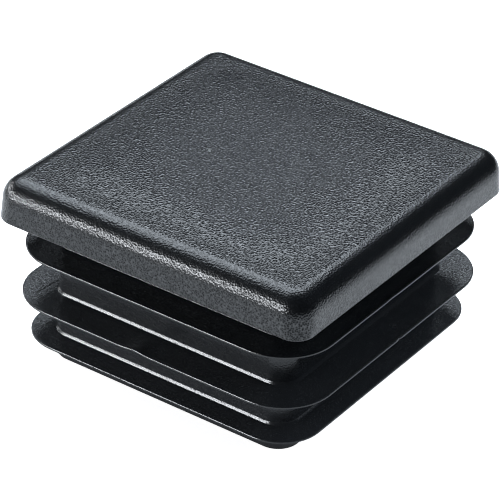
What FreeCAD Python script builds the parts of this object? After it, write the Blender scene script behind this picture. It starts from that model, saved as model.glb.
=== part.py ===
import FreeCAD, Part
import math
import os

# Ribbed end cap for a square tube, moulded in one piece of soft black plastic.
# A square head closes the tube's end. Below it a hollow core carries three thin fins,
# which bend and grip when the core is pushed into the tube.
# All lengths are in millimetres. +Z points from the open end of the core to the head,
# and the origin is the middle of the open end's rim, on which the cap stands.

# The tube that the cap is made for
TUBE_WIDTH = 40.0             # outside width of the tube, and so of the head
TUBE_WALL_THIN = 1.0          # thinnest wall that the fins still grip
TUBE_WALL_THICK = 3.0         # thickest wall that the core still enters

# Head: the plate that shows when the cap is fitted
HEAD_HEIGHT = 5.0             # from the shoulder to the flat border of the top
HEAD_EDGE_RADIUS = 2.5        # roll of the top edge
HEAD_BORDER_CORNER = 0.2      # corner radius of the flat border, inside the roll
HEAD_LOWER_EDGE_RADIUS = 0.25 # the edge that meets the tube
HEAD_SKIN = 2.5               # plastic between the top of the hollow and the flat border

# The middle of the top stands a little proud, because the thick border sinks as it cools
PAD_RISE = 0.2                # height of the middle above the border
PAD_BORDER = 0.7              # flat width between the roll and the foot of the slope
PAD_SLOPE = 4.4               # width of the slope
PAD_CORNER_RADIUS = 1.0       # corners of the raised middle, at the top of the slope

# Core: the hollow square plug under the head
CORE_CLEARANCE = 1.2          # room for a folded fin in the tube with the thickest wall
CORE_FLARE = 0.45             # each side leans out by this much from shoulder to open end
CORE_CORNER_RADIUS = 2.5      # outer upright corners, at the open end
CORE_WALL = 2.0               # thickness of the four walls
CORE_TAIL = 2.45              # bare length below the lowest fin
CORE_RIM_CHAMFER = 0.3        # inner and outer edges of the open end
HOLLOW_CEILING_RADIUS = 0.8   # where the walls meet the underside of the head
HOLLOW_CEILING_CORNER = 0.3   # corner radius of the flat ceiling, inside that rounding
GATE_RADIUS = 0.9             # nub left on the ceiling where the plastic was fed in
GATE_HEIGHT = 0.5

# Fins, counted down from the head. Their corners turn about the same axes as the core's.
FIN_RIM_THICKNESS = 0.3       # at the outer edge
FIN_ROOT_THICKNESS = 0.6      # at the core
FIN_TOP_FILLET = 0.4          # between the core and a fin's flat upper side
SHOULDER_CHAMFER = 0.4        # inner corner between the core and the underside of the head
FIN_1_GAP = 3.45              # free height between the shoulder and the fin
FIN_2_GAP = 5.4               # free height between the fin above and this one
FIN_3_GAP = 4.45
FIN_1_GRIP = 0.3              # how far the fin stands past the widest bore, each side
FIN_2_GRIP = 0.55
FIN_3_GRIP = -0.45            # the lowest fin is smaller than the bore, to lead the cap in

# Heights, built up from the open end
FIN_3_TOP = CORE_TAIL + FIN_ROOT_THICKNESS
FIN_2_TOP = FIN_3_TOP + FIN_3_GAP + FIN_ROOT_THICKNESS
FIN_1_TOP = FIN_2_TOP + FIN_2_GAP + FIN_ROOT_THICKNESS
SHOULDER_Z = FIN_1_TOP + FIN_1_GAP
BORDER_Z = SHOULDER_Z + HEAD_HEIGHT
CEILING_Z = BORDER_Z - HEAD_SKIN

# Half widths
HEAD_HALF = TUBE_WIDTH / 2
WIDEST_BORE_HALF = HEAD_HALF - TUBE_WALL_THIN
NARROWEST_BORE_HALF = HEAD_HALF - TUBE_WALL_THICK
CORE_MOUTH_HALF = NARROWEST_BORE_HALF - CORE_CLEARANCE

# Each fin from the lowest up: height of its upper side, and half width
FINS = [
    (FIN_3_TOP, WIDEST_BORE_HALF + FIN_3_GRIP),
    (FIN_2_TOP, WIDEST_BORE_HALF + FIN_2_GRIP),
    (FIN_1_TOP, WIDEST_BORE_HALF + FIN_1_GRIP),
]

OVERLAP = 1.0                 # how far a solid runs on into its neighbour, or past the rim


def core_half(z):
    """Half width of the core at a height: it leans out evenly towards the open end."""
    return CORE_MOUTH_HALF - CORE_FLARE * z / SHOULDER_Z


def section_face(corners):
    """A face in the XZ plane from its corners, each given as x, z and rounding radius."""
    points = [FreeCAD.Vector(x, 0, z) for x, z, radius in corners]
    count = len(points)
    joints = []
    for i, (x, z, radius) in enumerate(corners):
        back = (points[i - 1] - points[i]).normalize()
        ahead = (points[(i + 1) % count] - points[i]).normalize()
        if radius == 0:
            joints.append((points[i], None, points[i]))
            continue
        half_angle = back.getAngle(ahead) / 2
        reach = radius / math.tan(half_angle)
        middle = (back + ahead).normalize() * (radius / math.sin(half_angle) - radius)
        joints.append((points[i] + back * reach, points[i] + middle, points[i] + ahead * reach))
    edges = []
    for i, (start, middle, end) in enumerate(joints):
        if middle is not None:
            edges.append(Part.Arc(start, middle, end).toShape())
        edges.append(Part.LineSegment(end, joints[(i + 1) % count][0]).toShape())
    return Part.Face(Part.Wire(edges))


def square_sweep(corners, axis):
    """A solid with the same section on all four sides, which turns round four upright axes.

    The section starts and ends at x = axis. Each axis stands at that distance from both
    centre lines, and a plain square block fills the middle.
    """
    section = section_face(corners)
    axis_heights = [z for x, z, radius in corners if x == axis]
    low = min(axis_heights)
    block = Part.makeBox(
        2 * axis, 2 * axis, max(axis_heights) - low, FreeCAD.Vector(-axis, -axis, low)
    )
    up = FreeCAD.Vector(0, 0, 1)
    middle = FreeCAD.Vector(0, 0, 0)
    side = section.translated(FreeCAD.Vector(0, -axis, 0)).extrude(FreeCAD.Vector(0, 2 * axis, 0))
    turn_start = section.translated(FreeCAD.Vector(0, axis, 0))
    corner = turn_start.revolve(FreeCAD.Vector(axis, axis, 0), up, 90)
    pieces = []
    for quarter in range(4):
        pieces.append(side.rotated(middle, up, 90 * quarter))
        pieces.append(corner.rotated(middle, up, 90 * quarter))
    return block.fuse(pieces).removeSplitter()


def head():
    """The plate with its rolled top edge."""
    axis = HEAD_HALF - HEAD_EDGE_RADIUS - HEAD_BORDER_CORNER
    return square_sweep(
        [
            (axis, SHOULDER_Z, 0),
            (HEAD_HALF, SHOULDER_Z, HEAD_LOWER_EDGE_RADIUS),
            (HEAD_HALF, BORDER_Z, HEAD_EDGE_RADIUS),
            (axis, BORDER_Z, 0),
        ],
        axis,
    )


def pad():
    """The slightly raised middle of the top."""
    foot_half = HEAD_HALF - HEAD_EDGE_RADIUS - PAD_BORDER
    top_half = foot_half - PAD_SLOPE
    axis = top_half - PAD_CORNER_RADIUS
    return square_sweep(
        [
            (axis, BORDER_Z - OVERLAP, 0),
            (foot_half, BORDER_Z - OVERLAP, 0),
            (foot_half, BORDER_Z, 0),
            (top_half, BORDER_Z + PAD_RISE, 0),
            (axis, BORDER_Z + PAD_RISE, 0),
        ],
        axis,
    )


def finned_core():
    """The plug under the head: its walls, the fins and the roundings between them."""
    axis = CORE_MOUTH_HALF - CORE_CORNER_RADIUS
    corners = [
        (axis, 0, 0),
        (CORE_MOUTH_HALF - CORE_RIM_CHAMFER, 0, 0),
        (core_half(CORE_RIM_CHAMFER), CORE_RIM_CHAMFER, 0),
    ]
    for top, half in FINS:
        root = top - FIN_ROOT_THICKNESS
        corners.append((core_half(root), root, 0))
        corners.append((half, top - FIN_RIM_THICKNESS, 0))
        corners.append((half, top, 0))
        corners.append((core_half(top), top, FIN_TOP_FILLET))
    flange_half = core_half(SHOULDER_Z) + SHOULDER_CHAMFER
    chamfer_foot = SHOULDER_Z - SHOULDER_CHAMFER
    corners.append((core_half(chamfer_foot), chamfer_foot, 0))
    corners.append((flange_half, SHOULDER_Z, 0))
    corners.append((flange_half, SHOULDER_Z + OVERLAP, 0))
    corners.append((axis, SHOULDER_Z + OVERLAP, 0))
    return square_sweep(corners, axis)


def hollow():
    """The space inside the core, open below, which leaves walls of even thickness."""
    ceiling_half = core_half(CEILING_Z) - CORE_WALL
    mouth_half = core_half(0) - CORE_WALL
    axis = ceiling_half - HOLLOW_CEILING_RADIUS - HOLLOW_CEILING_CORNER
    flare = mouth_half + CORE_RIM_CHAMFER
    return square_sweep(
        [
            (axis, -OVERLAP, 0),
            (flare, -OVERLAP, 0),
            (flare, 0, 0),
            (mouth_half, CORE_RIM_CHAMFER, 0),
            (ceiling_half, CEILING_Z, HOLLOW_CEILING_RADIUS),
            (axis, CEILING_Z, 0),
        ],
        axis,
    )


def gate_nub():
    """The stub of the feed, in the middle of the ceiling, where the fitted cap hides it."""
    foot = FreeCAD.Vector(0, 0, CEILING_Z - GATE_HEIGHT)
    return Part.makeCylinder(GATE_RADIUS, GATE_HEIGHT + HEAD_SKIN / 2, foot)


def cap():
    """The whole moulding."""
    outside = head().fuse([pad(), finned_core()])
    return outside.cut(hollow()).fuse(gate_nub()).removeSplitter()


os.makedirs("parts", exist_ok=True)
part = cap()
part.exportStep("parts/tube_end_cap.step")
print("valid", part.isValid(), "solids", len(part.Solids), "volume", round(part.Volume, 1))
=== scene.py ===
# %% [markdown]
# # A ribbed end cap for a square tube
#
# The cap is one moulding in black plastic: a square head with rolled edges, and below it
# a hollow square plug with three thin fins, which bend and grip inside the tube.
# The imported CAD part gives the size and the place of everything, so it is loaded first.
# The notebook then sets the camera, lights a small studio, builds the moulding with
# Geometry Nodes, and gives it two finishes: a grained head and a smoother plug.

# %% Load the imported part
import math

import bmesh
import bpy
from mathutils import Matrix, Vector


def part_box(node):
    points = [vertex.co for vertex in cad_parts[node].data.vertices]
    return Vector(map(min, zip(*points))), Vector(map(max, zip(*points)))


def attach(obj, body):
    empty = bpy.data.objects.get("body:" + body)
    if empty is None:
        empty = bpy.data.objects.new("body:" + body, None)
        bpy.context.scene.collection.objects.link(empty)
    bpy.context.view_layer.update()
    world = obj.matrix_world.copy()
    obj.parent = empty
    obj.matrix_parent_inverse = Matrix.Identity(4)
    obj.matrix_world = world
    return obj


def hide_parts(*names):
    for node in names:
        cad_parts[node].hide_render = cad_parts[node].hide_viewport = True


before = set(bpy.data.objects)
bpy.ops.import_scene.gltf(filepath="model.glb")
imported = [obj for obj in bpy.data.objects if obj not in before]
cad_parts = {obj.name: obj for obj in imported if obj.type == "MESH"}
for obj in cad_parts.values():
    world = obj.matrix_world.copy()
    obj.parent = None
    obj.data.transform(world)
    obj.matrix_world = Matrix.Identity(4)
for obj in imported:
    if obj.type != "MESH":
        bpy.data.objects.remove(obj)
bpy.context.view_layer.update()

MM = 0.001
part_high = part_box("tube_end_cap")[1]
HEAD_HALF = part_high.x / MM
TOP_Z = part_high.z / MM
scene = bpy.context.scene
scene.view_settings.view_transform = "Standard"
scene.cycles.denoising_prefilter = "FAST"   # keeps the fine grain of the plastic
scene.cycles.filter_width = 1.15            # pixels, for lines as crisp as the photograph's
print("head half width", round(HEAD_HALF, 3), "mm, height", round(TOP_Z, 3), "mm")

# %% [markdown]
# ## Camera
#
# The photograph was taken with a long lens from about a third of a metre, looking down
# on one corner of the head. A long lens keeps the sides of the head nearly parallel.
# The camera looks past the middle of the object, because the object sits low and to the
# right in the picture, and it is rolled by two degrees. It could be placed by eye, but the
# straight edges of the head and the fins allow better: these values were fitted, so that
# the model's outlines fall on the photograph's.

# %% Camera
CAMERA_AZIMUTH = math.radians(34.04)    # from the front side, towards the right side
CAMERA_ELEVATION = math.radians(32.015)
CAMERA_ROLL = math.radians(2.351)
CAMERA_DISTANCE = 331.33                # mm, from the middle of the shoulder
CAMERA_ASIDE = -0.342                   # mm, in the camera's own right direction
CAMERA_UP = -5.08                       # mm, in the camera's own up direction
LENS = 220.61                           # mm, on a sensor 36 mm wide
SHOULDER_Z = 17.55                      # mm, where the head's underside meets the tube

backwards = Vector((
    math.cos(CAMERA_ELEVATION) * math.sin(CAMERA_AZIMUTH),
    -math.cos(CAMERA_ELEVATION) * math.cos(CAMERA_AZIMUTH),
    math.sin(CAMERA_ELEVATION),
))
level_right = Vector((math.cos(CAMERA_AZIMUTH), math.sin(CAMERA_AZIMUTH), 0))
level_up = backwards.cross(level_right)
right = math.cos(CAMERA_ROLL) * level_right + math.sin(CAMERA_ROLL) * level_up
up = math.cos(CAMERA_ROLL) * level_up - math.sin(CAMERA_ROLL) * level_right

camera = bpy.data.objects.new("camera", bpy.data.cameras.new("camera"))
scene.collection.objects.link(camera)
camera.data.lens = LENS
camera.data.clip_start = 0.01   # m
camera.data.clip_end = 10       # m
place = Vector((0, 0, SHOULDER_Z)) + CAMERA_ASIDE * right + CAMERA_UP * up
place += CAMERA_DISTANCE * backwards
axes = Matrix((right, up, backwards)).transposed()
camera.matrix_world = Matrix.Translation(place * MM) @ axes.to_4x4()
scene.camera = camera
print("camera at", [round(v, 4) for v in camera.location], "m")

# %% [markdown]
# ## Studio
#
# A black object shows what it reflects more than its own colour, so the studio isn't a
# stock set of lamps but is worked out from the reflections in the photograph. A large soft
# box hangs behind the object, above it, and gives the top its even grey and the bright line
# along the front of the top. Two long low soft boxes, at the front left and at the left,
# draw the bright lines along the roll of the head and along the roots and rims of the fins.
# A broad fill at the right lights the fins on that side. The photograph has no mirror image
# of it at the front corner, so it is hidden from glossy rays. Between the soft boxes the
# studio is dark, which gives the dark bands on the rolled edges.

# %% Soft boxes
AIM = Vector((0, 0, 0.015))     # m, the point that every lamp faces
COOL = (0.87, 0.935, 1.0)
PLAIN = (0.975, 0.985, 1.0)


def soft_box(name, azimuth, elevation, distance, width, height, radiance, colour):
    """A rectangular lamp that faces the object. Angles are in degrees, sizes in metres.

    Azimuth 0 is straight ahead of the camera, past the object, and 90 is to its left.
    """
    turn = CAMERA_AZIMUTH + math.radians(azimuth)
    lift = math.radians(elevation)
    towards = Vector((
        -math.cos(lift) * math.sin(turn), math.cos(lift) * math.cos(turn), math.sin(lift)
    ))
    lamp = bpy.data.lights.new(name, "AREA")
    lamp.shape = "RECTANGLE"
    lamp.size = width
    lamp.size_y = height
    lamp.color = colour
    lamp.energy = radiance * math.pi * width * height   # W, of an even panel
    box = bpy.data.objects.new(name, lamp)
    box.visible_camera = False
    scene.collection.objects.link(box)
    box.location = AIM + distance * towards
    box.rotation_mode = "QUATERNION"
    box.rotation_quaternion = towards.to_track_quat("Z", "Y")
    return box


# name, azimuth, elevation, distance, width, height, radiance, colour
boxes = [
    soft_box("back_soft_box", 13, 58, 0.42, 0.50, 0.255, 6.3, COOL),
    soft_box("low_front_box", 114, 12, 0.9, 0.80, 0.08, 47.0, PLAIN),
    soft_box("low_left_box", 66, 13, 0.9, 0.60, 0.08, 21.5, PLAIN),
    soft_box("right_fill_box", 278, 33, 1.2, 0.9, 0.7, 9.5, COOL),
]
boxes[-1].visible_glossy = False
print("soft boxes", [box.name for box in boxes])

# %% [markdown]
# ## Room
#
# The photograph's background is plain white, but a white room would wash out the dark bands
# in the black plastic. So the camera sees white, and every other ray meets a dark room:
# a Light Path node tells the two apart. Trees of nodes can be wired by hand in an editor.
# Here a helper adds each node and sets or links its inputs, so that a tree stays short.

# %% Room behind the lamps
ROOM_COLOUR = (0.025, 0.027, 0.029, 1)
WHITE = (1, 1, 1, 1)


def add(tree, kind, settings=None, **inputs):
    """A new node, with its settings, and its inputs set or linked by name."""
    node = tree.nodes.new(kind)
    for key, value in (settings or {}).items():
        setattr(node, key, value)
    for key, value in inputs.items():
        feed(tree, node.inputs[key.replace("_", " ")], value)
    return node


def feed(tree, socket, value):
    """Links a socket where the value is one, and sets the value otherwise."""
    if isinstance(value, bpy.types.NodeSocket):
        tree.links.new(value, socket)
    else:
        socket.default_value = value


def mixed(tree, factor, first, second):
    """The first shader where the factor is 0, or nothing, and the second where it is 1."""
    node = add(tree, "ShaderNodeMixShader", Fac=factor)
    if first is not None:
        tree.links.new(first, node.inputs[1])
    tree.links.new(second, node.inputs[2])
    return node.outputs[0]


world = bpy.data.worlds.new("studio")
scene.world = world
world.use_nodes = True
tree = world.node_tree
tree.nodes.clear()
room = add(tree, "ShaderNodeBackground", Color=ROOM_COLOUR).outputs[0]
white = add(tree, "ShaderNodeBackground", Color=WHITE).outputs[0]
by_camera = add(tree, "ShaderNodeLightPath").outputs["Is Camera Ray"]
add(tree, "ShaderNodeOutputWorld", Surface=mixed(tree, by_camera, room, white))
print("room with", len(tree.nodes), "nodes")

# %% [markdown]
# ## Floor
#
# The cap stands on a white surface that shows little more than its shadow. A floor that
# glows white for every ray would lose the shadow and flood the sides with light. So this one
# is matt and pale, which lights the upright sides from below, and camera rays find a glow
# on top of that, up to white. Rays that the plastic mirrors find a weak glow too, which is
# painted light, left out close to the cap as a painted shadow of the cap.

# %% Floor
FLOOR_HALF = 0.13   # m
FLOOR_CORNERS = ((-1, -1), (1, -1), (1, 1), (-1, 1))

floor_mesh = bpy.data.meshes.new("floor")
floor_mesh.from_pydata(
    [(x * FLOOR_HALF, y * FLOOR_HALF, 0) for x, y in FLOOR_CORNERS], [], [(0, 1, 2, 3)]
)
floor = bpy.data.objects.new("floor", floor_mesh)
scene.collection.objects.link(floor)
print("floor", 2 * FLOOR_HALF, "m square")

# %% Floor paint
FLOOR_COLOUR = (0.8, 0.8, 0.8, 1)
CAMERA_GLOW = 0.75
# painted light: a glow that only mirrored rays see, left out near the cap as a painted shadow
PAINTED_MIRROR_GLOW = 0.16
MIRRORED_COLOUR = (0.84, 0.92, 1, 1)
PAINTED_SHADOW_HALF = 17 * MM   # half width of the square without the mirrored glow
CLEAR_HALF = 23 * MM    # and of the square outside which it is whole


def maths(tree, operation, *values):
    """A Math node's result."""
    node = tree.nodes.new("ShaderNodeMath")
    node.operation = operation
    for i, value in enumerate(values):
        feed(tree, node.inputs[i], value)
    return node.outputs[0]


def added(tree, first, second):
    """Two shaders on top of each other."""
    node = add(tree, "ShaderNodeAddShader")
    tree.links.new(first, node.inputs[0])
    tree.links.new(second, node.inputs[1])
    return node.outputs[0]


floor_paint = bpy.data.materials.new("floor_paint")
floor_paint.use_nodes = True
tree = floor_paint.node_tree
tree.nodes.clear()
on_floor = add(tree, "ShaderNodeTexCoord").outputs["Object"]
at = add(tree, "ShaderNodeSeparateXYZ", Vector=on_floor).outputs
reach = maths(tree, "MAXIMUM", maths(tree, "ABSOLUTE", at["X"]), maths(tree, "ABSOLUTE", at["Y"]))
# painted shadow: the glow for mirrored rays fades out close to the cap
clear = add(
    tree, "ShaderNodeMapRange", {"interpolation_type": "SMOOTHSTEP"},
    Value=reach, From_Min=PAINTED_SHADOW_HALF, From_Max=CLEAR_HALF, To_Max=PAINTED_MIRROR_GLOW,
).outputs["Result"]
matt = add(tree, "ShaderNodeBsdfDiffuse", Color=FLOOR_COLOUR).outputs[0]
seen = add(tree, "ShaderNodeEmission", Strength=CAMERA_GLOW).outputs[0]
mirrored = add(tree, "ShaderNodeEmission", Color=MIRRORED_COLOUR, Strength=clear).outputs[0]
rays = add(tree, "ShaderNodeLightPath").outputs
glow = added(
    tree, mixed(tree, rays["Is Camera Ray"], None, seen),
    mixed(tree, rays["Is Glossy Ray"], None, mirrored),
)
add(tree, "ShaderNodeOutputMaterial", Surface=added(tree, matt, glow))
floor_mesh.materials.append(floor_paint)
print("floor paint with", len(tree.nodes), "nodes")

# %% [markdown]
# ## The section of the moulding
#
# Cut upright through the middle of a side, the cap shows one outline: along the top,
# round the rolled edge, down the side, in under the head, down the plug and round each fin,
# and up inside the hollow to the middle of its ceiling. A cube with insets and bevels could
# grow into the same shape, but the outline is the same on all four sides, so it is drawn
# once. Each corner of the outline is given as its half width, its height, the turning axis
# of the plan corner there, and its rounding radius.
# The turning axis is how far the centre of the quarter turn stands from both centre
# lines, so the plan radius at any place is the half width less that distance.
#
# Where the photograph shows a thin bright line, the outline has a narrow flat: a steep
# facet at the root of each fin, and small bevels along the upper edge of its rim.
# A rounded edge would spread the same light over its whole turn, and give a faint line.

# %% Sizes, in mm
PAD_RISE = 0.2            # the middle of the top stands this much above its border
BORDER_Z = TOP_Z - PAD_RISE
PAD_TOP_HALF = 12.2       # half width of the raised middle, at the top of its slope
PAD_FOOT_HALF = 16.1      # and at the foot
PAD_AXIS = 11.3
PAD_TOP_BLEND = 115.0     # long radii, so that the slope has no visible edge
PAD_FOOT_BLEND = 30.0
ROLL = 2.62               # radius of the head's rolled upper edge
ROLL_AXIS = 17.19
HEAD_LOW_AXIS = 17.7
HEAD_LOW_EDGE = 0.25      # radius of the edge that meets the tube
CORE_AXIS = 13.2          # the core is the plug without its fins
CORE_HALF_SHOULDER = 15.38
CORE_HALF_MOUTH = 15.80   # the core is a little wider at its open end
SHOULDER_FILLET = 0.45
FIN_ROOT = 0.6            # thickness of a fin at the core
FIN_RIM = 0.32            # and at its rim
FIN_RIM_EDGE = 0.04
FIN_BEVELS = ((0.11, 0.03), (0.03, 0.09), (0.0, 0.15))   # a rim's upper edge: inwards, down
FIN_BEVEL_EDGE = 0.02
FIN_UNDER_FILLET = 0.25
FACET_RUN = 0.16          # the steep facet between a fin's upper side and the plug
FACET_RISE = 0.32
FACET_TOP_EDGE = 0.12
FACET_FOOT_EDGE = 0.08
FINS = (                  # upper side, half width, turning axis of the rim
    (14.10, 19.32, 12.92),
    (8.10, 19.54, 13.25),
    (3.05, 18.54, 13.41),
)
CORE_OUTER_EDGE = 0.1
CORE_INNER_EDGE = 0.3
HOLLOW_HALF_MOUTH = 13.80  # which leaves walls 2 mm thick
HOLLOW_HALF_CEILING = 13.29
HOLLOW_AXIS = 12.19
HOLLOW_FILLET = 0.8
CEILING_Z = 20.05
GATE_RADIUS = 0.9         # stub on the ceiling, where the plastic was fed in
GATE_HEIGHT = 0.5
GATE_EDGE = 0.15
print("head", round(TOP_Z - SHOULDER_Z, 2), "mm high, with", len(FINS), "fins below it")

# %% Corners of the section
def core_half(z):
    """Half width of the plug at a height."""
    share = z / SHOULDER_Z
    return CORE_HALF_MOUTH + (CORE_HALF_SHOULDER - CORE_HALF_MOUTH) * share


corners = [
    (0, TOP_Z, 0, 0),
    (PAD_TOP_HALF, TOP_Z, PAD_AXIS, PAD_TOP_BLEND),
    (PAD_FOOT_HALF, BORDER_Z, PAD_AXIS, PAD_FOOT_BLEND),
    (HEAD_HALF, BORDER_Z, ROLL_AXIS, ROLL),
    (HEAD_HALF, SHOULDER_Z, HEAD_LOW_AXIS, HEAD_LOW_EDGE),
    (core_half(SHOULDER_Z), SHOULDER_Z, CORE_AXIS, SHOULDER_FILLET),
]
for fin_top, fin_half, fin_axis in FINS:
    root_z = fin_top - FIN_ROOT
    facet_z = fin_top + FACET_RISE
    corners.append((core_half(facet_z), facet_z, CORE_AXIS, FACET_TOP_EDGE))
    corners.append((core_half(facet_z) + FACET_RUN, fin_top, CORE_AXIS, FACET_FOOT_EDGE))
    for inwards, down in FIN_BEVELS:
        corners.append((fin_half - inwards, fin_top - down, fin_axis, FIN_BEVEL_EDGE))
    corners.append((fin_half, fin_top - FIN_RIM, fin_axis, FIN_RIM_EDGE))
    corners.append((core_half(root_z), root_z, CORE_AXIS, FIN_UNDER_FILLET))
corners += [
    (CORE_HALF_MOUTH, 0, CORE_AXIS, CORE_OUTER_EDGE),
    (HOLLOW_HALF_MOUTH, 0, HOLLOW_AXIS, CORE_INNER_EDGE),
    (HOLLOW_HALF_CEILING, CEILING_Z, HOLLOW_AXIS, HOLLOW_FILLET),
    (GATE_RADIUS, CEILING_Z, 0, GATE_EDGE),
    (GATE_RADIUS, CEILING_Z - GATE_HEIGHT, 0, GATE_EDGE),
    (0, CEILING_Z - GATE_HEIGHT, 0, 0),
]
print(len(corners), "corners in the section")

# %% [markdown]
# ## Roundings and holding points
#
# Every edge of a moulding is a little rounded. A Bevel modifier rounds edges alike, but here
# each has a radius of its own, so the arcs are worked out as points of the outline.
# A shaded surface bends its light between its points, so a flat that ends at a small
# rounding would look bent all over. A holding point close to each end of a flat
# keeps the flat looking flat.

# %% Rounding a corner
ARC_STEP = math.radians(10)
ARC_LEAST = 4           # steps in a short arc
LEAST_RADIUS = 0.3      # mm, of a plan corner on the top


def rounding(before, corner, after):
    """The points of one rounded corner, as (half width, height, turning axis)."""
    here = Vector(corner[:2])
    back = (Vector(before[:2]) - here).normalized()
    ahead = (Vector(after[:2]) - here).normalized()
    radius = corner[3]
    if radius == 0:
        return [tuple(corner[:3])]
    half_angle = back.angle(ahead) / 2
    centre = here + (back + ahead).normalized() * radius / math.sin(half_angle)
    reach = radius / math.tan(half_angle)
    first = here + back * reach - centre
    last = here + ahead * reach - centre
    turn = math.pi - 2 * half_angle
    steps = max(ARC_LEAST, math.ceil(turn / ARC_STEP))
    points = []
    for i in range(steps + 1):
        share = i / steps
        arm = math.sin((1 - share) * turn) * first + math.sin(share * turn) * last
        half, z = centre + arm / math.sin(turn)
        points.append((half, z, min(corner[2], half - LEAST_RADIUS)))
    return points


print(len(rounding(*corners[2:5])), "points on the roll of the head")

# %% Points of the section
HOLD = 0.12             # mm from a rounding to its holding point
SHORTEST_HELD = 0.48    # mm, the shortest flat that gets holding points

section = [corners[0][:3]]
for i in range(1, len(corners)):
    ring = [corners[i][:3]]
    if i < len(corners) - 1:
        ring = rounding(corners[i - 1], corners[i], corners[i + 1])
    start, end = Vector(section[-1]), Vector(ring[0])
    length = (end - start).xy.length
    if length > SHORTEST_HELD:
        section.append(tuple(start.lerp(end, HOLD / length)))
        section.append(tuple(end.lerp(start, HOLD / length)))
    section += ring
print(len(section), "points in the section")

# %% [markdown]
# The outline becomes a mesh of points and edges, without faces. Each point carries its
# turning axis as an attribute, which Geometry Nodes can read. A curve could hold the
# outline as well, but a mesh keeps every point exactly where it was worked out.

# %% Section as a mesh that carries its turning axes
section_mesh = bpy.data.meshes.new("cap_section")
section_mesh.from_pydata(
    [(x * MM, 0, z * MM) for x, z, axis in section],
    [(i, i + 1) for i in range(len(section) - 1)], [],
)
turning_axis = section_mesh.attributes.new("turning_axis", "FLOAT", "POINT")
turning_axis.data.foreach_set("value", [axis * MM for x, z, axis in section])
cap = bpy.data.objects.new("moulded_cap", section_mesh)
scene.collection.objects.link(cap)
print("section mesh with", len(section_mesh.edges), "edges")

# %% [markdown]
# ## Turning the section round a square
#
# A Screw modifier turns a section round one axis, which suits a round cap. This one is
# square with rounded corners, so the tree is a square lathe: it carries the section along
# a side, turns it round the corner's own axis, and goes on to the next side.
# A plain grid is made, with one column of points for each place round the square and one
# row for each point of the section. Each column knows its seat, which is where its turning
# centre stands, and its outward direction, and each row knows its half width and axis.
# The point goes to seat times axis, plus outward times what is left of the half width.
# Columns crowd together at the ends of a side, as holding points, and at its middle, where
# the parting line of the mould left its marks.

# %% Square lathe, its grid
SIDE_STEPS = 48
CORNER_STEPS = 12
CROWDING = 0.9          # 0 for even columns along a side, 1 for the most crowded
WELD_DISTANCE = 5e-7    # m, closes the seam of the grid and its ends


def new_tree(name, kind, inputs, outputs):
    """A node group with named inputs and outputs, and the sockets at its two ends."""
    tree = bpy.data.node_groups.new(name, kind)
    for label, socket_type, value in inputs:
        socket = tree.interface.new_socket(label, in_out="INPUT", socket_type=socket_type)
        if value is not None:
            socket.default_value = value
    for label, socket_type in outputs:
        tree.interface.new_socket(label, in_out="OUTPUT", socket_type=socket_type)
    given = tree.nodes.new("NodeGroupInput").outputs
    made = tree.nodes.new("NodeGroupOutput").inputs
    return tree, given, made


def whole_maths(tree, operation, *values):
    """An Integer Math node's result."""
    node = tree.nodes.new("FunctionNodeIntegerMath")
    node.operation = operation
    for i, value in enumerate(values):
        feed(tree, node.inputs[i], value)
    return node.outputs[0]


lathe, given, made = new_tree(
    "square lathe", "GeometryNodeTree",
    [
        ("Section", "NodeSocketGeometry", None),
        ("Side Steps", "NodeSocketInt", SIDE_STEPS),
        ("Corner Steps", "NodeSocketInt", CORNER_STEPS),
        ("Crowding", "NodeSocketFloat", CROWDING),
        ("Weld Distance", "NodeSocketFloat", WELD_DISTANCE),
    ],
    [("Shell", "NodeSocketGeometry")],
)
rows = add(
    lathe, "GeometryNodeAttributeDomainSize", {"component": "MESH"}, Geometry=given["Section"]
).outputs["Point Count"]
side_columns = whole_maths(lathe, "ADD", given["Side Steps"], given["Corner Steps"])
columns = whole_maths(lathe, "MULTIPLY_ADD", side_columns, 4, 1)
grid = add(lathe, "GeometryNodeMeshGrid", Vertices_X=columns, Vertices_Y=rows)
faced = add(lathe, "GeometryNodeFlipFaces", Mesh=grid.outputs["Mesh"])
print("grid of", 4 * (SIDE_STEPS + CORNER_STEPS) + 1, "columns and", len(section), "rows")

# %% Square lathe, the place of each column
index = lathe.nodes.new("GeometryNodeInputIndex").outputs[0]
column = whole_maths(lathe, "DIVIDE_FLOOR", index, rows)
row = whole_maths(lathe, "MODULO", index, rows)
side = whole_maths(lathe, "DIVIDE_FLOOR", column, side_columns)
step = whole_maths(lathe, "MODULO", column, side_columns)

along = maths(lathe, "MINIMUM", maths(lathe, "DIVIDE", step, given["Side Steps"]), 1.0)
along = maths(lathe, "MULTIPLY_ADD", along, 2.0, -1.0)
wave = maths(lathe, "SINE", maths(lathe, "MULTIPLY", along, math.tau))
crowd = maths(lathe, "DIVIDE", given["Crowding"], math.tau)
along = maths(lathe, "SUBTRACT", along, maths(lathe, "MULTIPLY", wave, crowd))
past_side = maths(lathe, "MAXIMUM", maths(lathe, "SUBTRACT", step, given["Side Steps"]), 0.0)
turn = maths(lathe, "DIVIDE", past_side, given["Corner Steps"])
turn = maths(lathe, "MULTIPLY", turn, math.pi / 2)
print("square lathe with", len(lathe.nodes), "nodes so far")

# %% Square lathe, the points
def vector_maths(tree, operation, *values):
    """A Vector Math node's vector."""
    node = tree.nodes.new("ShaderNodeVectorMath")
    node.operation = operation
    for i, value in enumerate(values):
        feed(tree, node.inputs[i], value)
    return node.outputs[0]


def vector_scale(tree, vector, factor):
    """A vector times a number."""
    node = tree.nodes.new("ShaderNodeVectorMath")
    node.operation = "SCALE"
    feed(tree, node.inputs[0], vector)
    feed(tree, node.inputs["Scale"], factor)
    return node.outputs[0]


def turned(tree, vector, angle):
    """A vector turned about the upright axis."""
    node = tree.nodes.new("ShaderNodeVectorRotate")
    node.rotation_type = "Z_AXIS"
    feed(tree, node.inputs["Vector"], vector)
    feed(tree, node.inputs["Angle"], angle)
    return node.outputs[0]


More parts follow.
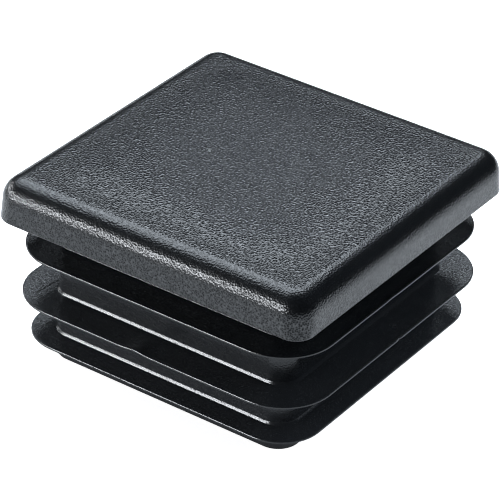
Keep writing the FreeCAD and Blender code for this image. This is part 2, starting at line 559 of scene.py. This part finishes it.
position = lathe.nodes.new("GeometryNodeInputPosition").outputs[0]
axis_field = add(
    lathe, "GeometryNodeInputNamedAttribute", {"data_type": "FLOAT"}, Name="turning_axis"
).outputs["Attribute"]
section_point = add(
    lathe, "GeometryNodeSampleIndex", {"data_type": "FLOAT_VECTOR", "domain": "POINT"},
    Geometry=given["Section"], Value=position, Index=row,
).outputs[0]
section_axis = add(
    lathe, "GeometryNodeSampleIndex", {"data_type": "FLOAT", "domain": "POINT"},
    Geometry=given["Section"], Value=axis_field, Index=row,
).outputs[0]
point = add(lathe, "ShaderNodeSeparateXYZ", Vector=section_point).outputs
plan_radius = maths(lathe, "SUBTRACT", point["X"], section_axis)
seat = add(lathe, "ShaderNodeCombineXYZ", X=along, Y=-1.0).outputs[0]
outward = turned(lathe, (0.0, -1.0, 0.0), turn)
flat = vector_maths(
    lathe, "ADD", vector_scale(lathe, seat, section_axis), vector_scale(lathe, outward, plan_radius)
)
flat = turned(lathe, flat, maths(lathe, "MULTIPLY", side, math.pi / 2))
height = add(lathe, "ShaderNodeCombineXYZ", Z=point["Z"]).outputs[0]
lifted = vector_maths(lathe, "ADD", flat, height)
shell = add(lathe, "GeometryNodeSetPosition", Geometry=faced.outputs["Mesh"], Position=lifted)
welded = add(
    lathe, "GeometryNodeMergeByDistance", Geometry=shell.outputs[0], Distance=given["Weld Distance"]
)
lathe.links.new(welded.outputs[0], made["Shell"])
print("square lathe with", len(lathe.nodes), "nodes")

# %% [markdown]
# ## Marks of the mould on the fins
#
# The mould parts at the middle of the sides, and a fin is thin enough to be pulled
# a little out of line there. On the front side the rim of the middle fin has a short wave.
# On the right side the same rim has a small nick, and the top fin's rim is a little bent.
# They could be sculpted by hand, but all three are one rule: near one place on one side,
# the rim moves up or inwards, and less so towards the core.

# %% Rim mark
mark, given, made = new_tree(
    "rim mark", "GeometryNodeTree",
    [
        ("Shell", "NodeSocketGeometry", None),
        ("Side", "NodeSocketFloat", 0.0),
        ("Place", "NodeSocketFloat", 0.0),
        ("Width", "NodeSocketFloat", 1.0 * MM),
        ("Level", "NodeSocketFloat", 8.0 * MM),
        ("Band", "NodeSocketFloat", 0.5 * MM),
        ("Start", "NodeSocketFloat", 16.5 * MM),
        ("Rim", "NodeSocketFloat", 19.5 * MM),
        ("Lift", "NodeSocketFloat", 0.0),
        ("Inset", "NodeSocketFloat", 0.0),
    ],
    [("Shell", "NodeSocketGeometry")],
)
position = mark.nodes.new("GeometryNodeInputPosition").outputs[0]
side_angle = maths(mark, "MULTIPLY", given["Side"], math.pi / 2)
faced = turned(mark, position, maths(mark, "MULTIPLY", side_angle, -1.0))
at = add(mark, "ShaderNodeSeparateXYZ", Vector=faced).outputs
outness = add(
    mark, "ShaderNodeMapRange", {"interpolation_type": "SMOOTHSTEP"},
    Value=maths(mark, "MULTIPLY", at["Y"], -1.0), From_Min=given["Start"], From_Max=given["Rim"],
).outputs["Result"]
away = maths(mark, "DIVIDE", maths(mark, "SUBTRACT", at["X"], given["Place"]), given["Width"])
bell = maths(mark, "EXPONENT", maths(mark, "MULTIPLY", maths(mark, "MULTIPLY", away, away), -1.0))
off_level = maths(mark, "ABSOLUTE", maths(mark, "SUBTRACT", at["Z"], given["Level"]))
near_level = maths(mark, "LESS_THAN", off_level, given["Band"])
strength = maths(mark, "MULTIPLY", maths(mark, "MULTIPLY", bell, near_level), outness)
shift = add(
    mark, "ShaderNodeCombineXYZ",
    Y=maths(mark, "MULTIPLY", strength, given["Inset"]),
    Z=maths(mark, "MULTIPLY", strength, given["Lift"]),
).outputs[0]
moved = add(
    mark, "GeometryNodeSetPosition", Geometry=given["Shell"], Offset=turned(mark, shift, side_angle)
)
mark.links.new(moved.outputs[0], made["Shell"])
print("rim mark with", len(mark.nodes), "nodes")

# %% [markdown]
# ## The whole moulding
#
# The section goes through the lathe and then through the three marks. The tree also notes,
# face by face, which parts of the cap are flat, because the grain is deepest there: the tops
# of the head and the fins face up, and the sides face out. The faces could be picked by
# hand, but their normals tell the same, and still do when a size changes.

# %% Moulding tree
FIN_BAND = 0.5 * MM     # a mark reaches this far above and below the middle of the rim


def rim_level(fin):
    """The middle of a fin's rim, in metres. Fins are counted down from the head."""
    return (FINS[fin][0] - FIN_RIM / 2) * MM


moulding, given, made = new_tree(
    "ribbed moulding", "GeometryNodeTree",
    [
        ("Section", "NodeSocketGeometry", None),
        ("Side Steps", "NodeSocketInt", SIDE_STEPS),
        ("Corner Steps", "NodeSocketInt", CORNER_STEPS),
        ("Wave Lift", "NodeSocketFloat", 0.0),
        ("Nick Inset", "NodeSocketFloat", 0.0),
        ("Bend Lift", "NodeSocketFloat", 0.0),
        ("Plastic", "NodeSocketMaterial", None),
    ],
    [("Moulding", "NodeSocketGeometry")],
)
turned_shell = add(
    moulding, "GeometryNodeGroup", {"node_tree": lathe},
    Section=given["Section"], Side_Steps=given["Side Steps"], Corner_Steps=given["Corner Steps"],
)
waved = add(
    moulding, "GeometryNodeGroup", {"node_tree": mark}, Shell=turned_shell.outputs[0],
    Side=0.0, Place=-1.2 * MM, Width=1.2 * MM, Level=rim_level(1), Band=FIN_BAND,
    Start=16.5 * MM, Rim=FINS[1][1] * MM, Lift=given["Wave Lift"],
)
nicked = add(
    moulding, "GeometryNodeGroup", {"node_tree": mark}, Shell=waved.outputs[0],
    Side=1.0, Place=0.07 * MM, Width=0.2 * MM, Level=rim_level(1), Band=FIN_BAND,
    Start=18.8 * MM, Rim=FINS[1][1] * MM, Inset=given["Nick Inset"],
)
bent = add(
    moulding, "GeometryNodeGroup", {"node_tree": mark}, Shell=nicked.outputs[0],
    Side=1.0, Place=-1.6 * MM, Width=0.7 * MM, Level=rim_level(0), Band=FIN_BAND,
    Start=16.5 * MM, Rim=FINS[0][1] * MM, Lift=given["Bend Lift"],
)
print("moulding tree with", len(moulding.nodes), "nodes so far")

# %% Flat faces, and the end of the moulding tree
FACES_UP = 0.985        # least upright part of a normal that counts as facing up
FACES_OUT = 0.1         # most upright part of a normal that counts as facing out
SIDE_FLATNESS = 0.3     # against 1 for the faces that look up

facing = moulding.nodes.new("GeometryNodeInputNormal").outputs[0]
upright = add(moulding, "ShaderNodeSeparateXYZ", Vector=facing).outputs["Z"]
faces_up = maths(moulding, "GREATER_THAN", upright, FACES_UP)
faces_out = maths(moulding, "LESS_THAN", maths(moulding, "ABSOLUTE", upright), FACES_OUT)
flatness = maths(moulding, "MULTIPLY_ADD", faces_out, SIDE_FLATNESS, faces_up)
tops = add(
    moulding, "GeometryNodeStoreNamedAttribute", {"data_type": "FLOAT", "domain": "FACE"},
    Geometry=bent.outputs[0], Name="flatness", Value=flatness,
)
smooth = add(moulding, "GeometryNodeSetShadeSmooth", Geometry=tops.outputs[0])
real = add(moulding, "GeometryNodeRealizeInstances", Geometry=smooth.outputs[0])
painted = add(
    moulding, "GeometryNodeSetMaterial", Geometry=real.outputs[0], Material=given["Plastic"]
)
moulding.links.new(painted.outputs[0], made["Moulding"])
print("moulding tree with", len(moulding.nodes), "nodes")

# %% [markdown]
# ## Finish
#
# The plastic is black. The head has the fine cellular grain that a spark-eroded mould
# leaves, and the plug is smoother. The grain could be real displacement, but its cells are
# a fifth of a millimetre wide, which would take millions of faces, so it is a bump.
# One group makes it: small cells give both the relief and the gloss, and a slow mottle
# stops the surface from looking too even.

# %% Moulded grain, as a node group
GRAIN_SCALE = 4500.0    # cells in a metre, so a cell is 0.22 mm wide
GRAIN_CONTRAST = 2.1
CELL_RANDOMNESS = 0.85
MOTTLE_SHARE = 0.06     # scale of the mottle against that of the cells

grain, given, made = new_tree(
    "moulded grain", "ShaderNodeTree",
    [
        ("Vector", "NodeSocketVector", None),
        ("Scale", "NodeSocketFloat", GRAIN_SCALE),
        ("Gloss Contrast", "NodeSocketFloat", GRAIN_CONTRAST),
    ],
    [("Height", "NodeSocketFloat"), ("Gloss", "NodeSocketFloat"), ("Mottle", "NodeSocketFloat")],
)
pits = add(
    grain, "ShaderNodeTexVoronoi", {"voronoi_dimensions": "3D", "feature": "F1"},
    Vector=given["Vector"], Scale=given["Scale"], Randomness=CELL_RANDOMNESS,
)
centred = maths(grain, "SUBTRACT", pits.outputs["Distance"], 0.5)
gloss = maths(grain, "MULTIPLY_ADD", centred, given["Gloss Contrast"], 0.5)
slow = add(
    grain, "ShaderNodeTexNoise", {"noise_dimensions": "3D"}, Vector=given["Vector"],
    Scale=maths(grain, "MULTIPLY", given["Scale"], MOTTLE_SHARE), Detail=3.0, Roughness=0.6,
)
grain.links.new(pits.outputs["Distance"], made["Height"])
grain.links.new(gloss, made["Gloss"])
grain.links.new(slow.outputs["Fac"], made["Mottle"])
print("moulded grain with", len(grain.nodes), "nodes")

# %% [markdown]
# ## Witness lines
#
# The photograph shows a short dark line on the left corner of the two lower fins, where
# two pieces of the mould met. It is too shallow to model, and a painted mask would need
# a picture. So a group works out the mask: it finds the points near a stretch of
# straight line, and the material takes the gloss away there.

# %% Witness line, as a node group
def vector_number(tree, operation, *values):
    """A Vector Math node's number, such as a length or a dot product."""
    node = tree.nodes.new("ShaderNodeVectorMath")
    node.operation = operation
    for i, value in enumerate(values):
        feed(tree, node.inputs[i], value)
    return node.outputs["Value"]


line_mask, given, made = new_tree(
    "witness line", "ShaderNodeTree",
    [
        ("Vector", "NodeSocketVector", None),
        ("Start", "NodeSocketVector", (0.0, 0.0, 0.0)),
        ("Direction", "NodeSocketVector", (0.0, -1.0, 0.0)),
        ("Length", "NodeSocketFloat", 3.0 * MM),
        ("Half Width", "NodeSocketFloat", 0.1 * MM),
    ],
    [("Mask", "NodeSocketFloat")],
)
from_start = vector_maths(line_mask, "SUBTRACT", given["Vector"], given["Start"])
along_it = vector_number(line_mask, "DOT_PRODUCT", from_start, given["Direction"])
on_line = maths(line_mask, "MAXIMUM", along_it, 0.0)
on_line = maths(line_mask, "MINIMUM", on_line, given["Length"])
nearest = vector_scale(line_mask, given["Direction"], on_line)
off_line = vector_maths(line_mask, "SUBTRACT", from_start, nearest)
near = add(
    line_mask, "ShaderNodeMapRange", {"interpolation_type": "SMOOTHSTEP"},
    Value=vector_number(line_mask, "LENGTH", off_line),
    From_Max=given["Half Width"], To_Min=1.0, To_Max=0.0,
).outputs["Result"]
line_mask.links.new(near, made["Mask"])
print("witness line with", len(line_mask.nodes), "nodes")

# %% [markdown]
# ## The material
#
# Head and plug are one moulding. Two materials would leave a hard seam between them, so they
# share one, and masks tell its parts apart: the height on the part tells the head from the
# plug, and the flatness that the moulding tree stored tells the flats from the rolled edges.

# %% Where the surface is
HALF_BLEND = 0.05       # mm above and below the shoulder, where plug turns into head
FLAT_ENOUGH = 0.7       # flatness from which a face of the plug counts as a fin's top

plastic = bpy.data.materials.new("black_moulded_plastic")
plastic.use_nodes = True
tree = plastic.node_tree
tree.nodes.clear()
skin = tree.nodes.new("ShaderNodeBsdfPrincipled")
add(tree, "ShaderNodeOutputMaterial", Surface=skin.outputs["BSDF"])
place_on_part = add(tree, "ShaderNodeTexCoord").outputs["Object"]
height_on_part = add(tree, "ShaderNodeSeparateXYZ", Vector=place_on_part).outputs["Z"]
on_head = add(
    tree, "ShaderNodeMapRange", Value=height_on_part,
    From_Min=(SHOULDER_Z - HALF_BLEND) * MM, From_Max=(SHOULDER_Z + HALF_BLEND) * MM,
).outputs["Result"]
flatness = add(tree, "ShaderNodeAttribute", {"attribute_name": "flatness"}).outputs["Fac"]
flat_of_plug = maths(tree, "SUBTRACT", flatness, on_head)
on_fin_top = maths(tree, "GREATER_THAN", flat_of_plug, FLAT_ENOUGH)
print(plastic.name, "with", len(tree.nodes), "nodes so far")

# %% [markdown]
# The grain is deepest on the head's top, less deep on its sides, weaker on its roll and
# faint on the plug. A bump tilts the light without moving the surface, which is enough for
# cells this small. The head is also a little rougher than the plug.

# %% Relief and roughness
GRAIN_DEPTH = 0.052 * MM
FAINT = 0.15                # share of the grain on the plug
PLUG_ROUGHNESS = 0.22
HEAD_ROUGHNESS = 0.265
ROUGHNESS_MOTTLE = 0.04     # from the least to the most

grained = add(tree, "ShaderNodeGroup", {"node_tree": grain}, Vector=place_on_part).outputs
# 0 on the plug, 1 on the head's roll, 1.3 on its sides and 2 on its top
grain_place = maths(tree, "MULTIPLY_ADD", on_head, flatness, on_head)
depth = add(
    tree, "ShaderNodeMapRange", Value=grain_place, From_Max=2.0, To_Min=FAINT, To_Max=1.0
).outputs["Result"]
relief = add(
    tree, "ShaderNodeBump", Height=maths(tree, "MULTIPLY", grained["Height"], depth),
    Distance=GRAIN_DEPTH, Strength=1.0,
).outputs["Normal"]
tree.links.new(relief, skin.inputs["Normal"])
rough = add(
    tree, "ShaderNodeMapRange", Value=maths(tree, "MAXIMUM", on_head, on_fin_top),
    To_Min=PLUG_ROUGHNESS, To_Max=HEAD_ROUGHNESS,
).outputs["Result"]
least_rough = maths(tree, "SUBTRACT", rough, ROUGHNESS_MOTTLE / 2)
rough = maths(tree, "MULTIPLY_ADD", grained["Mottle"], ROUGHNESS_MOTTLE, least_rough)
tree.links.new(rough, skin.inputs["Roughness"])
print("relief", round(GRAIN_DEPTH / MM, 3), "mm deep, cells", round(1000 / GRAIN_SCALE, 2), "mm")

# %% Witness lines on the material
LINE_HALF_WIDTH = 0.19 * MM
LINES = (   # top of the fin, start, direction, length and strength, in mm
    (8.10, (-16.00, -13.44), (-0.1091, -0.9940), 3.39, 1.0),
    (3.05, (-16.26, -14.21), (-0.1182, -0.9930), 1.69, 0.8),
)

marks = 0.0
for top, start, direction, length, strength in LINES:
    mask = add(
        tree, "ShaderNodeGroup", {"node_tree": line_mask}, Vector=place_on_part,
        Start=(start[0] * MM, start[1] * MM, top * MM), Direction=(*direction, 0.0),
        Length=length * MM, Half_Width=LINE_HALF_WIDTH,
    ).outputs["Mask"]
    marks = maths(tree, "MAXIMUM", marks, maths(tree, "MULTIPLY", mask, strength))
unmarked = maths(tree, "SUBTRACT", 1.0, marks)
print(len(LINES), "witness lines")

# %% [markdown]
# The cells of the grain differ in gloss too, which gives the plastic its fine sparkle. The
# tops of the fins are glossier than the rest. Two materials or a painted map could do this.
# Here it is all one number, the strength of the plastic's reflection, which the masks change.

# %% Gloss
MEAN_GLOSS = 0.48
LEAST_GLOSS = 0.02
FIN_TOP_CONTRAST = 0.7      # added to the grain's share in the gloss
FIN_TOP_GLOSS = 1.6         # added to a factor of 1

grain_share = maths(tree, "MULTIPLY", depth, depth)
grain_share = maths(tree, "MULTIPLY_ADD", on_fin_top, FIN_TOP_CONTRAST, grain_share)
gloss = maths(tree, "SUBTRACT", grained["Gloss"], 0.5)
gloss = maths(tree, "MULTIPLY_ADD", gloss, grain_share, MEAN_GLOSS)
gloss = maths(tree, "MAXIMUM", gloss, LEAST_GLOSS)
gain = maths(tree, "MULTIPLY_ADD", on_fin_top, FIN_TOP_GLOSS, 1.0)
gloss = maths(tree, "MULTIPLY", maths(tree, "MULTIPLY", gloss, gain), unmarked)
tree.links.new(gloss, skin.inputs["Specular IOR Level"])
skin.inputs["IOR"].default_value = 1.5
skin.inputs["Specular Tint"].default_value = (0.94, 0.97, 1, 1)
print("gloss", MEAN_GLOSS, "on the whole, and", round(MEAN_GLOSS * (1 + FIN_TOP_GLOSS), 2),
      "on the fins' tops")

# %% [markdown]
# Black plastic is never quite black. Low on the plug it is painted a little greyer, as painted
# light: the lower fins catch light from the white floor, while the top fin, in the head's shade,
# stays black. A slow change with the height, with the grain's mottle in it, paints this.

# %% Colour
BLACK = (0.0026, 0.0031, 0.0037, 1)
PAINTED_LIT_BLACK = (0.0110, 0.0122, 0.0140, 1)
PAINTED_LIGHT_TOP = 14 * MM         # the painted light sets in below this height
PAINTED_LIGHT_FOOT = 4 * MM         # and is whole at this one
PAINTED_LIGHT_SHARE = 0.9
MOTTLE_COLOUR = 0.2

# painted light: the colour grows lighter towards the bottom of the plug
painted_light = add(
    tree, "ShaderNodeMapRange", {"interpolation_type": "SMOOTHSTEP"}, Value=height_on_part,
    From_Min=PAINTED_LIGHT_TOP, From_Max=PAINTED_LIGHT_FOOT,
).outputs["Result"]
tone = maths(tree, "MULTIPLY", painted_light, PAINTED_LIGHT_SHARE)
tone = maths(tree, "MULTIPLY_ADD", grained["Mottle"], MOTTLE_COLOUR, tone)
shade = add(tree, "ShaderNodeMix", {"data_type": "RGBA"}, Factor=tone)
shade.inputs[6].default_value = BLACK           # A and B, of the sockets for colours
shade.inputs[7].default_value = PAINTED_LIT_BLACK
tree.links.new(shade.outputs[2], skin.inputs["Base Color"])
print(plastic.name, "with", len(tree.nodes), "nodes")

# %% [markdown]
# ## Making it real
#
# The modifier could stay live, but the checks and the export read plain meshes. So its
# inputs are set, its result becomes the cap's own mesh, and the modifier goes. A closed
# shell that faces outwards has a positive volume, near the CAD solid's, and no open edge.

# %% Build the moulding
def set_inputs(modifier, values):
    """Sets a Geometry Nodes modifier's inputs, each by its socket's identifier."""
    for item in modifier.node_group.interface.items_tree:
        if item.item_type == "SOCKET" and item.in_out == "INPUT" and item.name in values:
            modifier[item.identifier] = values[item.name]


modifier = cap.modifiers.new("moulding", "NODES")
modifier.node_group = moulding
set_inputs(modifier, {
    "Side Steps": SIDE_STEPS,
    "Corner Steps": CORNER_STEPS,
    "Wave Lift": 0.17 * MM,
    "Nick Inset": 0.12 * MM,
    "Bend Lift": 0.07 * MM,
    "Plastic": plastic,
})
evaluated = cap.evaluated_get(bpy.context.evaluated_depsgraph_get())
cap_mesh = bpy.data.meshes.new_from_object(evaluated)
cap.modifiers.remove(modifier)
cap.data = cap_mesh
print(len(cap_mesh.vertices), "points", len(cap_mesh.polygons), "faces")

# %% Measure the moulding
measured = bmesh.new()
measured.from_mesh(cap_mesh)
print("volume", round(measured.calc_volume(signed=True) / MM ** 3, 1), "mm3")
print("open edges", sum(1 for edge in measured.edges if not edge.is_manifold))
measured.free()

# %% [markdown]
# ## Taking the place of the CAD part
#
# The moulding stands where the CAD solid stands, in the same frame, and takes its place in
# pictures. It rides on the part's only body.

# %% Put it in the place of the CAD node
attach(cap, "root")
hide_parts("tube_end_cap")
print("the cap rides on root and replaces tube_end_cap")
